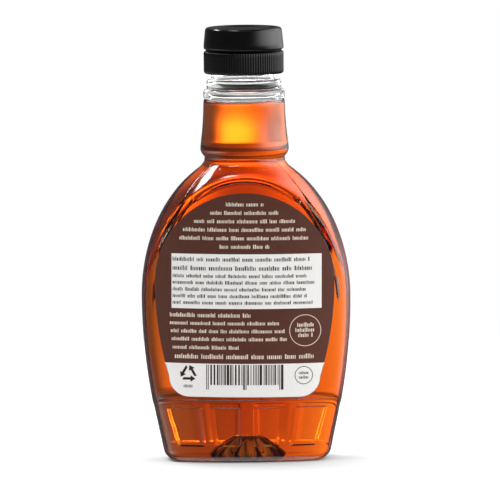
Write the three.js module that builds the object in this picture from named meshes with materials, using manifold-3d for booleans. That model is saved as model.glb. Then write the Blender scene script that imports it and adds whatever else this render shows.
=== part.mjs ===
// Plastic flask of maple syrup: a clear blown bottle, its fill of syrup, a label on each wide face
// and a black two-part cap. Millimetres, +Z up, wide faces towards -Y and +Y, origin under the base.
import * as THREE from 'three';
import { mergeVertices } from 'three/addons/utils/BufferGeometryUtils.js';
import Module from 'manifold-3d';

const wasm = await Module();
wasm.setup();

// Body outline seen from the front
const BODY_HALF_WIDTH = 44.65;
const SPRING_HEIGHT = 70;
const SHOULDER_RISE = 61;
const LOWER_SIDE_RADIUS = 240;

// Body section seen from above: long front and back arcs, short side arcs, soft corners
const PANEL_HALF_DEPTH = 22;
const FRONT_RADIUS = 90;
const SIDE_RADIUS = 34;
const CORNER_SHARPNESS = 24;

// Recessed arch that carries the label
const ARCH_HALF_WIDTH = 42.5;
const ARCH_RISE = 53.2;
const ARCH_SPRING = 69.6;
const ARCH_BEVEL = 3;
const RIDGE_RELIEF = 1.8;
const RIDGE_FADE = 35;

// Base below the step, which runs lower round the narrow sides
const STEP_HEIGHT = 27.2;
const STEP_BLEND = 0.8;
const STEP_SIDE_DROP = 3.1;
const STEP_DROP_SHARPNESS = 24;
const STEP_FRONT_RELIEF = 0.65;
const STEP_SIDE_RELIEF = 0.2;
const BASE_SIDE_TAPER = 0.21;
const BASE_FRONT_TAPER = 0.06;
const HEEL_RADIUS = 4;
const PUSH_UP_HEIGHT = 10.5;
const PUSH_UP_REACH = 0.7;
const FLUTES = 12;
const FLUTE_RELIEF = 0.14;

// Four sunk panels on each wide face of the base: how far from the middle they begin and end
const PANEL_TOP = 23.9;
const PANEL_BOTTOM = 7;
const BASE_PANELS = [
  { top: [2.6, 15], foot: [2.6, 12.8] },
  { top: [20.6, 34], foot: [18.3, 28.9] },
];
const PANEL_DEPTH = 0.7;
const PANEL_DRAFT = 0.5;

// Neck, from the groove over the shoulder to the mouth inside the cap
const NECK_ROOT_RADIUS = 16.9;
const NECK_ROOT_HEIGHT = 129.7;
const NECK_FILLET = 2.4;
const FILLET_START = 110;
const FILLET_END = 121;
const RING_RADIUS = 18.95;
const RING_HEIGHT = 133.2;
const NECK_TOP_RADIUS = 17.5;
const CONE_MIDDLE = { radius: 17.85, height: 143.4 };
const CONE_END_HEIGHT = 150;
const UPPER_BEAD = { radius: 16.05, low: 159.1, high: 162.5 };
const LOWER_BEAD = { radius: 17.4, low: 154.5, high: 158.4 };
const BEAD_ROUNDING = 1.2;
const FINISH_RADIUS = 14;
const MOUTH_RADIUS = 12.6;
const MOUTH_HEIGHT = 173.6;

// Walls, fill and gaps between touching pieces
const WALL = 0.6;
const GAP = 0.3;
const FILL_HEIGHT = 153.6;

// Cap
const CAP_RADIUS = 17.1;
const CAP_BOTTOM = 165.3;
const CAP_SPLIT = 175.1;
const CAP_TOP = 185;
const CAP_RIBS = 96;
const RIB_RELIEF = 0.3;
const LID_TOP_RADIUS = 16.35;
const LID_RIM = 1.5;
const LID_LIP = 0.9;
const LID_DISH = 1.4;

// Labels
const LABEL_HALF_WIDTH = 38.3;
const LABEL_CENTRE = 77.2;
const LABEL_RISE = 38.5;
const LABEL_BOTTOM = 28.3;
const LABEL_SIDE_RADIUS = 136;
const LABEL_CORNER = 8.5;
const LABEL_THICKNESS = 0.2;
const FRONT_LABEL = { scale: 0.7, bottom: 31 };
const BACK_LABEL = { scale: 1, bottom: LABEL_BOTTOM };

// Fineness of the faceted solids, and where their rows of points lie
const COLUMNS = 48;
const ROUND_STEPS = 40;
const HALVINGS = 40;
const SQUEEZE = 0.45;
const FLOOR_SHARES = [0, 0.16, 0.34, 0.52, PUSH_UP_REACH, 0.88];
const HEEL_SHARES = [0, 0.3, 1];
const STRAIGHT_ROWS = [36, 47];
const LOWEST_ARCH_ROW = 58;
const SIDE_TOE = 76;
const SIDE_RIDGE = 86;
const TOE_SHARES = [0, 0.45, 0.8, 1];
const SHOULDER_SHARES = [0, 0.25, 0.5, 0.7, 0.86, 1];
const SIDE_STRIDE = 8;
const SHEET_STEPS = 14;

const pet = new THREE.MeshStandardMaterial({
  color: 0xe9ecec, roughness: 0.06, metalness: 0, transparent: true, opacity: 0.35,
});
const syrupAmber = new THREE.MeshStandardMaterial({ color: 0xb8480a, roughness: 0.08, metalness: 0 });
const blackPlastic = new THREE.MeshStandardMaterial({ color: 0x0b0b0c, roughness: 0.25, metalness: 0 });
const brownPaper = new THREE.MeshStandardMaterial({ color: 0x532e22, roughness: 0.5, metalness: 0 });

const smooth = (low, high, value) => THREE.MathUtils.smoothstep(value, low, high);

// Height of the step on the column that leaves the axis at this angle: lower on the narrow sides
function stepHeight(angle) {
  return STEP_HEIGHT - STEP_SIDE_DROP * Math.abs(Math.cos(angle)) ** STEP_DROP_SHARPNESS;
}

// How far the rounded heel draws the wall in at this height above the floor
function heelInset(height) {
  if (height >= HEEL_RADIUS) return 0;
  const down = HEEL_RADIUS - Math.max(height, 0);
  return HEEL_RADIUS - Math.sqrt(HEEL_RADIUS ** 2 - down ** 2);
}

function baseShare(z, angle) {
  const step = stepHeight(angle);
  return 1 - smooth(step - STEP_BLEND, step + STEP_BLEND, z);
}

// Half width of the body below the spring line of the shoulder
function halfWidth(z, angle) {
  const side = (height) => BODY_HALF_WIDTH - (SPRING_HEIGHT - height) ** 2 / (2 * LOWER_SIDE_RADIUS);
  const sideStep = STEP_HEIGHT - STEP_SIDE_DROP;
  const base = side(sideStep) - STEP_SIDE_RELIEF - BASE_SIDE_TAPER * (sideStep - z);
  return THREE.MathUtils.lerp(side(z), base, baseShare(z, angle));
}

// 0 on the label panel inside the arch, 1 on the ridge and outside it
function ridgeShare(x, z) {
  const rise = Math.max(z - ARCH_SPRING, 0);
  const outer = Math.hypot(x / ARCH_HALF_WIDTH, rise / ARCH_RISE);
  const inner = Math.hypot(x / (ARCH_HALF_WIDTH - ARCH_BEVEL), rise / (ARCH_RISE - ARCH_BEVEL));
  if (inner <= 1) return 0;
  if (outer >= 1) return 1;
  return (inner - 1) / (inner - outer);
}

const baseHalfDepth = (z) => PANEL_HALF_DEPTH - STEP_FRONT_RELIEF - BASE_FRONT_TAPER * (STEP_HEIGHT - z);

// Half depth of the wide faces on the centre line, before their curve is taken off
function halfDepth(x, z, angle) {
  const relief = RIDGE_RELIEF * smooth(ARCH_SPRING, ARCH_SPRING + RIDGE_FADE, z);
  const face = PANEL_HALF_DEPTH + relief * ridgeShare(x, z);
  return THREE.MathUtils.lerp(face, baseHalfDepth(z), baseShare(z, angle));
}

// Above 1 outside the flask's body and below 1 inside it
function bodyMeasure(x, y, z, angle, inset) {
  const drawn = inset + heelInset(z);
  const front = (y + x ** 2 / (2 * FRONT_RADIUS)) / (halfDepth(x, z, angle) - drawn);
  const sideSag = y ** 2 / (2 * SIDE_RADIUS) + drawn;
  const rise = z - SPRING_HEIGHT;
  const width = rise > 0 ? BODY_HALF_WIDTH : halfWidth(z, angle);
  if (sideSag >= width || (rise > 0 && rise >= SHOULDER_RISE - sideSag)) return Infinity;
  const across = x / (width - sideSag);
  const side = rise > 0 ? Math.hypot(across, rise / (SHOULDER_RISE - sideSag)) : across;
  return front ** CORNER_SHARPNESS + side ** CORNER_SHARPNESS;
}

// Distance of the wall from the axis, by repeated halving, with the neck's root blended in near the top
function wallRadius(angle, z, inset) {
  const cos = Math.abs(Math.cos(angle));
  const sin = Math.abs(Math.sin(angle));
  let inside = 0;
  let outside = BODY_HALF_WIDTH + 1;
  for (let i = 0; i < HALVINGS; i += 1) {
    const middle = (inside + outside) / 2;
    if (bodyMeasure(middle * cos, middle * sin, z, angle, inset) < 1) inside = middle;
    else outside = middle;
  }
  const fillet = NECK_FILLET * smooth(FILLET_START, FILLET_END, z);
  if (fillet === 0) return inside;
  const root = NECK_ROOT_RADIUS - inset;
  return (inside + root + Math.hypot(inside - root, fillet)) / 2;
}

// Height at which the column meets an arch of the given half width and rise; a column on the narrow
// side passes the arch by and takes the given height instead
function archHeight(angle, archWidth, archRise, sideHeight) {
  let low = ARCH_SPRING;
  let high = ARCH_SPRING + archRise;
  for (let i = 0; i < HALVINGS; i += 1) {
    const z = (low + high) / 2;
    const x = wallRadius(angle, z, 0) * Math.cos(angle);
    if (Math.hypot(x / archWidth, (z - ARCH_SPRING) / archRise) < 1) low = z;
    else high = z;
  }
  return Math.max(low, sideHeight);
}

// Columns stand closer together round the narrow sides, where the section turns fastest
const columnAngle = (turn) => turn - (SQUEEZE / 2) * Math.sin(2 * turn);

// Height of the floor under the bottle: a fluted push-up inside a flat standing ring
function floorHeight(share, turn) {
  const rise = 1 - smooth(0.12, PUSH_UP_REACH, share);
  const flute = 1 - FLUTE_RELIEF * smooth(0.1, 0.35, share) * (1 + Math.cos(FLUTES * turn));
  return PUSH_UP_HEIGHT * rise * flute;
}

// Rows of the pressed body from the middle of the floor to the neck's root, each giving the place of
// its point on one column as a distance from the axis and a height
function bodyRows(inset) {
  const floorRow = (share) => (angle, turn) => [
    share * wallRadius(angle, 0, inset), inset + floorHeight(share, turn),
  ];
  const wallRow = (heightAt) => (angle) => {
    const z = heightAt(angle);
    return [wallRadius(angle, z, inset), z];
  };
  const toe = (angle) => archHeight(angle, ARCH_HALF_WIDTH - ARCH_BEVEL, ARCH_RISE - ARCH_BEVEL, SIDE_TOE);
  const ridge = (angle) => archHeight(angle, ARCH_HALF_WIDTH, ARCH_RISE, SIDE_RIDGE);
  const { lerp } = THREE.MathUtils;
  return [
    ...FLOOR_SHARES.map(floorRow),
    ...HEEL_SHARES.map((share) => wallRow(() => Math.max(HEEL_RADIUS * share, inset))),
    ...[-STEP_BLEND, STEP_BLEND].map((offset) => wallRow((angle) => stepHeight(angle) + offset)),
    ...STRAIGHT_ROWS.map((z) => wallRow(() => z)),
    ...TOE_SHARES.map((share) => wallRow((angle) => lerp(LOWEST_ARCH_ROW, toe(angle), share))),
    ...SHOULDER_SHARES.map((share) => wallRow((angle) => lerp(ridge(angle), NECK_ROOT_HEIGHT, share))),
  ];
}

// Neck outline from its root to the mouth, outside the wall
function neckOutline() {
  const bead = ({ radius, low, high }, foot) => [
    [foot, low],
    [radius - 0.2, low + 0.5],
    [radius, low + BEAD_ROUNDING],
    [radius, high - BEAD_ROUNDING],
    [radius - 0.3, high - 0.4],
  ];
  return [
    [NECK_ROOT_RADIUS + 1, NECK_ROOT_HEIGHT + 1],
    [RING_RADIUS - 0.5, NECK_ROOT_HEIGHT + 1.9],
    [RING_RADIUS, RING_HEIGHT],
    [RING_RADIUS - 0.2, RING_HEIGHT + 1.6],
    [CONE_MIDDLE.radius, CONE_MIDDLE.height],
    [NECK_TOP_RADIUS, CONE_END_HEIGHT],
    [NECK_TOP_RADIUS - 0.1, FILL_HEIGHT],
    ...bead(LOWER_BEAD, LOWER_BEAD.radius - 0.4),
    ...bead(UPPER_BEAD, UPPER_BEAD.radius - 0.3),
    [FINISH_RADIUS, UPPER_BEAD.high + 0.7],
    [FINISH_RADIUS, MOUTH_HEIGHT],
  ];
}

// Bore of the neck, which follows the wall up to the fill and closes in under the beads
function boreOutline(inset, top) {
  const outline = [
    [NECK_ROOT_RADIUS + 0.9 - inset, NECK_ROOT_HEIGHT + 1.3],
    [RING_RADIUS - inset, RING_HEIGHT],
    [CONE_MIDDLE.radius - inset, CONE_MIDDLE.height],
    [NECK_TOP_RADIUS - inset, CONE_END_HEIGHT],
    [NECK_TOP_RADIUS - 0.1 - inset, FILL_HEIGHT],
  ];
  if (top > FILL_HEIGHT) {
    outline.push([NECK_TOP_RADIUS - 2 * WALL, LOWER_BEAD.high - 1.3]);
    outline.push([MOUTH_RADIUS, UPPER_BEAD.high + 0.6], [MOUTH_RADIUS, top]);
  }
  return outline;
}

// Closed solid turned on the axis: the pressed rows first, then round rows given as [radius, height]
function turnedForm(pressedRows, roundRows, segments = COLUMNS) {
  const rows = [...pressedRows, ...roundRows.map(([radius, z]) => () => [radius, z])];
  rows.push(() => [0, roundRows.length ? roundRows.at(-1)[1] : 0]);
  const profile = rows.map((row, i) => new THREE.Vector2(i === 0 || i === rows.length - 1 ? 0 : 1, i));
  const geometry = new THREE.LatheGeometry(profile, segments);
  const position = geometry.getAttribute('position');
  for (let i = 0; i < position.count; i += 1) {
    const turn = (Math.floor(i / rows.length) / segments) * 2 * Math.PI;
    const angle = columnAngle(turn);
    const [radius, z] = rows[i % rows.length](angle, turn);
    position.setXYZ(i, radius * Math.cos(angle), radius * Math.sin(angle), z);
  }
  return toSolid(geometry);
}

// Closed mesh to solid: shared vertices merged, collapsed triangles at the axis left out, and every
// triangle turned round where the mesh was mirrored
function toSolid(geometry, mirrored = false) {
  const bare = new THREE.BufferGeometry();
  bare.setAttribute('position', geometry.getAttribute('position').clone());
  bare.setIndex(geometry.index);
  const merged = mergeVertices(bare, 1e-4);
  const index = merged.index.array;
  const triangles = [];
  for (let i = 0; i < index.length; i += 3) {
    const [a, b, c] = [index[i], index[i + 1], index[i + 2]];
    if (a === b || b === c || c === a) continue;
    if (mirrored) triangles.push(a, c, b);
    else triangles.push(a, b, c);
  }
  return new wasm.Manifold(new wasm.Mesh({
    numProp: 3,
    vertProperties: new Float32Array(merged.getAttribute('position').array),
    triVerts: new Uint32Array(triangles),
  }));
}

function toGeometry(solid) {
  const mesh = solid.getMesh();
  const geometry = new THREE.BufferGeometry();
  geometry.setAttribute('position', new THREE.BufferAttribute(new Float32Array(mesh.vertProperties), 3));
  geometry.setIndex([...mesh.triVerts]);
  geometry.computeVertexNormals();
  return geometry;
}

// Cutter for one sunk panel of the base, drafted towards its floor and laid on the curved face
function panelCutter(panel, mirror, face, inset) {
  const [near, far] = panel.top;
  const [footNear, footFar] = panel.foot;
  const shape = new THREE.Shape([
    new THREE.Vector2(near, PANEL_TOP + inset),
    new THREE.Vector2(footNear, PANEL_BOTTOM - inset),
    new THREE.Vector2(footFar, PANEL_BOTTOM - inset),
    new THREE.Vector2(far, PANEL_TOP + inset),
  ]);
  const geometry = new THREE.ExtrudeGeometry(shape, {
    depth: 6, bevelEnabled: true, bevelSegments: 1, bevelThickness: PANEL_DRAFT * 2,
    bevelSize: PANEL_DRAFT, bevelOffset: inset - PANEL_DRAFT,
  });
  const position = geometry.getAttribute('position');
  const middle = (near + far) / 2;
  const slope = middle / FRONT_RADIUS;
  for (let i = 0; i < position.count; i += 1) {
    const x = position.getX(i);
    const z = position.getY(i);
    const out = position.getZ(i) + 2 * PANEL_DRAFT;
    const wall = baseHalfDepth(z) - middle ** 2 / (2 * FRONT_RADIUS) - slope * (x - middle);
    position.setXYZ(i, mirror * x, face * (wall - PANEL_DEPTH - inset + out), z);
  }
  return toSolid(geometry, mirror * face > 0);
}

function withPanels(solid, inset) {
  let cut = solid;
  for (const panel of BASE_PANELS) {
    for (const mirror of [-1, 1]) {
      for (const face of [-1, 1]) cut = cut.subtract(panelCutter(panel, mirror, face, inset));
    }
  }
  return cut;
}

function bottleSolid() {
  const outside = withPanels(turnedForm(bodyRows(0), neckOutline()), 0);
  const inside = withPanels(turnedForm(bodyRows(WALL), boreOutline(WALL, MOUTH_HEIGHT + 2)), WALL);
  return outside.subtract(inside);
}

function syrupSolid() {
  const inset = WALL + GAP;
  return withPanels(turnedForm(bodyRows(inset), boreOutline(inset, FILL_HEIGHT)), inset);
}

// Outline of a label seen from the front: round top, sides that draw in, round lower corners
function labelShape() {
  const sideX = (z) => LABEL_HALF_WIDTH - (LABEL_CENTRE - z) ** 2 / (2 * LABEL_SIDE_RADIUS);
  const cornerZ = LABEL_BOTTOM + LABEL_CORNER;
  const straightEnd = sideX(cornerZ) - LABEL_CORNER;
  const cornerX = sideX(LABEL_BOTTOM) - 0.5;
  const shape = new THREE.Shape();
  shape.moveTo(0, LABEL_BOTTOM);
  shape.lineTo(straightEnd, LABEL_BOTTOM);
  shape.quadraticCurveTo(cornerX, LABEL_BOTTOM, sideX(cornerZ), cornerZ);
  for (let z = cornerZ + SIDE_STRIDE; z < LABEL_CENTRE; z += SIDE_STRIDE) shape.lineTo(sideX(z), z);
  shape.absellipse(0, LABEL_CENTRE, LABEL_HALF_WIDTH, LABEL_RISE, 0, Math.PI, false, 0);
  for (let z = LABEL_CENTRE - SIDE_STRIDE; z > cornerZ; z -= SIDE_STRIDE) shape.lineTo(-sideX(z), z);
  shape.lineTo(-sideX(cornerZ), cornerZ);
  shape.quadraticCurveTo(-cornerX, LABEL_BOTTOM, -straightEnd, LABEL_BOTTOM);
  return shape;
}

// A label is a curved sheet that hugs the panel, trimmed to its outline; face is -1 or 1 along Y.
// The front label is smaller and lower, so the light that shows round the back label passes it by.
function labelSolid(face, fit) {
  const sheet = new THREE.Shape();
  const reach = LABEL_HALF_WIDTH + 1;
  const curve = (x, lift) => PANEL_HALF_DEPTH + lift - x ** 2 / (2 * FRONT_RADIUS);
  for (let i = 0; i <= SHEET_STEPS; i += 1) {
    const x = -reach + (2 * reach * i) / SHEET_STEPS;
    if (i === 0) sheet.moveTo(x, curve(x, GAP));
    else sheet.lineTo(x, curve(x, GAP));
  }
  for (let i = SHEET_STEPS; i >= 0; i -= 1) {
    const x = -reach + (2 * reach * i) / SHEET_STEPS;
    sheet.lineTo(x, curve(x, GAP + LABEL_THICKNESS));
  }
  const tall = new THREE.ExtrudeGeometry(sheet, {
    depth: LABEL_CENTRE + LABEL_RISE - LABEL_BOTTOM + 2, bevelEnabled: false,
  });
  tall.translate(0, 0, LABEL_BOTTOM - 1);
  if (face < 0) tall.rotateZ(Math.PI);
  const outlineDepth = 2 * PANEL_HALF_DEPTH;
  const outline = new THREE.ExtrudeGeometry(labelShape(), {
    depth: outlineDepth, bevelEnabled: false, curveSegments: 11,
  });
  outline.rotateX(Math.PI / 2);
  if (face > 0) outline.translate(0, outlineDepth, 0);
  outline.translate(0, 0, -LABEL_BOTTOM);
  outline.scale(fit.scale, 1, fit.scale);
  outline.translate(0, 0, fit.bottom);
  return toSolid(tall).intersect(toSolid(outline));
}

// Skirt of the cap: fine upright ribs outside and a pocket for the neck below
function capBaseSolid() {
  const ribs = new THREE.Shape();
  for (let i = 0; i < 2 * CAP_RIBS; i += 1) {
    const angle = (Math.PI * i) / CAP_RIBS;
    const radius = i % 2 ? CAP_RADIUS - RIB_RELIEF : CAP_RADIUS;
    if (i === 0) ribs.moveTo(radius, 0);
    else ribs.lineTo(radius * Math.cos(angle), radius * Math.sin(angle));
  }
  const skirt = new THREE.ExtrudeGeometry(ribs, {
    depth: CAP_SPLIT - GAP - CAP_BOTTOM, bevelEnabled: false,
  });
  skirt.translate(0, 0, CAP_BOTTOM);
  const pocket = new THREE.CylinderGeometry(
    FINISH_RADIUS + GAP, FINISH_RADIUS + GAP, MOUTH_HEIGHT - CAP_BOTTOM + GAP + 1, ROUND_STEPS,
  ).rotateX(Math.PI / 2);
  pocket.translate(0, 0, (MOUTH_HEIGHT + CAP_BOTTOM + GAP - 1) / 2);
  return toSolid(skirt).subtract(toSolid(pocket));
}

// Smooth lid with a raised rim round a dished top
function capLidSolid() {
  return toSolid(new THREE.LatheGeometry([
    new THREE.Vector2(0, CAP_SPLIT),
    new THREE.Vector2(CAP_RADIUS - LID_LIP, CAP_SPLIT),
    new THREE.Vector2(CAP_RADIUS - LID_LIP, CAP_SPLIT + 0.5),
    new THREE.Vector2(CAP_RADIUS - 0.2, CAP_SPLIT + 0.7),
    new THREE.Vector2(CAP_RADIUS, CAP_SPLIT + 1.5),
    new THREE.Vector2(LID_TOP_RADIUS + 0.15, CAP_TOP - 1.6),
    new THREE.Vector2(LID_TOP_RADIUS - 0.4, CAP_TOP - 0.5),
    new THREE.Vector2(LID_TOP_RADIUS - LID_RIM, CAP_TOP),
    new THREE.Vector2(LID_TOP_RADIUS - 2 * LID_RIM, CAP_TOP - 0.5),
    new THREE.Vector2(LID_TOP_RADIUS - 3.4 * LID_RIM, CAP_TOP - LID_DISH + 0.3),
    new THREE.Vector2(LID_TOP_RADIUS / 2, CAP_TOP - LID_DISH),
    new THREE.Vector2(0, CAP_TOP - LID_DISH),
  ], ROUND_STEPS).rotateX(Math.PI / 2));
}

function piece(name, solid, material) {
  const mesh = new THREE.Mesh(toGeometry(solid), material);
  mesh.name = name;
  return mesh;
}

const flask = new THREE.Group();
flask.add(piece('bottle', bottleSolid(), pet));
flask.add(piece('syrup', syrupSolid(), syrupAmber));
flask.add(piece('label_back', labelSolid(-1, BACK_LABEL), brownPaper));
flask.add(piece('label_front', labelSolid(1, FRONT_LABEL), brownPaper));
flask.add(piece('cap_base', capBaseSolid(), blackPlastic));
flask.add(piece('cap_lid', capLidSolid(), blackPlastic));

export default flask;
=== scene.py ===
"""Plastic flask of maple syrup: fine shapes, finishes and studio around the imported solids."""

import logging
import math
import random
from dataclasses import dataclass
from enum import Enum

import bmesh
import bpy
import numpy as np
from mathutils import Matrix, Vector


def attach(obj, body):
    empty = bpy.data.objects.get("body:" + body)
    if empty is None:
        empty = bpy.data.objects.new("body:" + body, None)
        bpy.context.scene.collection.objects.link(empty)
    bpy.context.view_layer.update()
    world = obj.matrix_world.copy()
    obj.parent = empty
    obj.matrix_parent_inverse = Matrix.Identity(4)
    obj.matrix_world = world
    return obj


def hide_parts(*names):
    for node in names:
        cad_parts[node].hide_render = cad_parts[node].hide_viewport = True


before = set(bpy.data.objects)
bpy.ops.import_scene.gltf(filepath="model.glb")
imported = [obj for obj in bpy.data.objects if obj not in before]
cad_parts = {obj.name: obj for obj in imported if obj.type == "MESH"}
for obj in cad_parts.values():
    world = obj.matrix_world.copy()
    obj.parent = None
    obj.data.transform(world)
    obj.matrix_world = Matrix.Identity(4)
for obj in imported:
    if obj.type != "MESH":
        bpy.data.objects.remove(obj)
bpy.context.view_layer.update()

MM = 0.001
WHITE = (1.0, 1.0, 1.0, 1.0)
BLACK = (0.0, 0.0, 0.0, 1.0)
BODY = "root"
LOG = logging.getLogger("syrup_flask")

Outline = list[tuple[float, float]]


def linear_colour(code: str) -> tuple[float, float, float, float]:
    """Turn an sRGB hex colour to the linear one that shaders take.

    Args:
        code: six hex digits, such as "532e22".

    Returns:
        Red, green, blue and an alpha of 1.
    """
    parts = [int(code[i:i + 2], 16) / 255 for i in (0, 2, 4)]
    red, green, blue = [p / 12.92 if p <= 0.04045 else ((p + 0.055) / 1.055) ** 2.4 for p in parts]
    return red, green, blue, 1.0


def add_node(tree: bpy.types.NodeTree, kind: str, inputs: dict | None = None,
             **settings: object) -> bpy.types.Node:
    """Add one node to a tree.

    Args:
        tree: node tree of a material or a world.
        kind: the node's type name.
        inputs: number, colour or output that feeds each of the node's sockets, by name or place.
        settings: properties of the node itself.

    Returns:
        The new node.
    """
    node = tree.nodes.new(kind)
    for name, value in settings.items():
        setattr(node, name, value)
    for name, value in (inputs or {}).items():
        if isinstance(value, bpy.types.NodeSocket):
            tree.links.new(value, node.inputs[name])
        else:
            node.inputs[name].default_value = value
    return node


def work_out(tree: bpy.types.NodeTree, value: bpy.types.NodeSocket | float,
             *steps: tuple[str, bpy.types.NodeSocket | float]) -> bpy.types.NodeSocket:
    """Take a value through sums, one after the other.

    Args:
        tree: node tree that gets the sums.
        value: number or output to begin with.
        steps: name of each sum and its other number or output.

    Returns:
        Output with the result.
    """
    for operation, other in steps:
        value = add_node(tree, "ShaderNodeMath", {0: value, 1: other}, operation=operation).outputs[0]
    return value


def new_material(name: str) -> tuple[bpy.types.Material, bpy.types.NodeTree]:
    """Make an empty node material.

    Args:
        name: the material's name.

    Returns:
        The material and its node tree.
    """
    material = bpy.data.materials.new(name)
    material.use_nodes = True
    material.node_tree.nodes.clear()
    return material, material.node_tree


def smooth_step(low: float, high: float, value: np.ndarray) -> np.ndarray:
    """Smooth rise from 0 at low to 1 at high."""
    share = np.clip((value - low) / (high - low), 0.0, 1.0)
    return share * share * (3.0 - 2.0 * share)


def blend(start: np.ndarray, end: np.ndarray, share: np.ndarray) -> np.ndarray:
    """Straight blend from start to end."""
    return start + (end - start) * share


@dataclass(frozen=True)
class Seats:
    """Where the upright columns of the flask's mesh sit in a quarter of its section.

    Side seats are shares of the corner's depth, from the middle of the narrow side to the corner. Face
    seats are shares of the corner's width, from the corner to the middle of the wide face.
    """

    panel_edges: tuple[float, ...] = (2.6, 15.0, 20.6, 34.0)
    corner_width: float = 39.6
    draft: float = 0.5
    margin: float = 0.15
    middle_steps: int = 3
    panel_steps: int = 8
    pillar_steps: int = 4
    pillar_start: float = 1.5
    outer_places: tuple[float, ...] = (35.2, 36.1)
    side_steps: int = 15
    side_crowding: float = 1.6
    corner_shares: tuple[float, ...] = (0.93, 0.945, 0.958, 0.969, 0.978, 0.986, 0.993)

    def side(self) -> np.ndarray:
        """Shares of the corner's depth, closer together towards the corner."""
        even = np.linspace(0.0, 1.0, self.side_steps + 1)
        return 1.0 - (1.0 - even) ** self.side_crowding

    def face(self) -> np.ndarray:
        """Shares of the corner's width from the corner inwards, with seats on every panel edge.

        Returns:
            The shares, from 1 at the corner down to 0.
        """
        near, far, second_near, second_far = self.panel_edges
        places = list(np.linspace(0.0, near - self.margin, self.middle_steps))
        for start, end in ((near, far), (second_near, second_far)):
            first = start + self.draft + self.margin
            last = end - self.draft - self.margin
            places += [start, start + self.draft, *np.linspace(first, last, self.panel_steps)]
            places += [end - self.draft, end, end + self.margin]
        places += list(np.linspace(far + self.pillar_start, second_near - self.margin, self.pillar_steps))
        places += self.outer_places
        shares = sorted(place / self.corner_width for place in places)
        return np.array([1.0, *reversed(self.corner_shares), *reversed(shares)])


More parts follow.
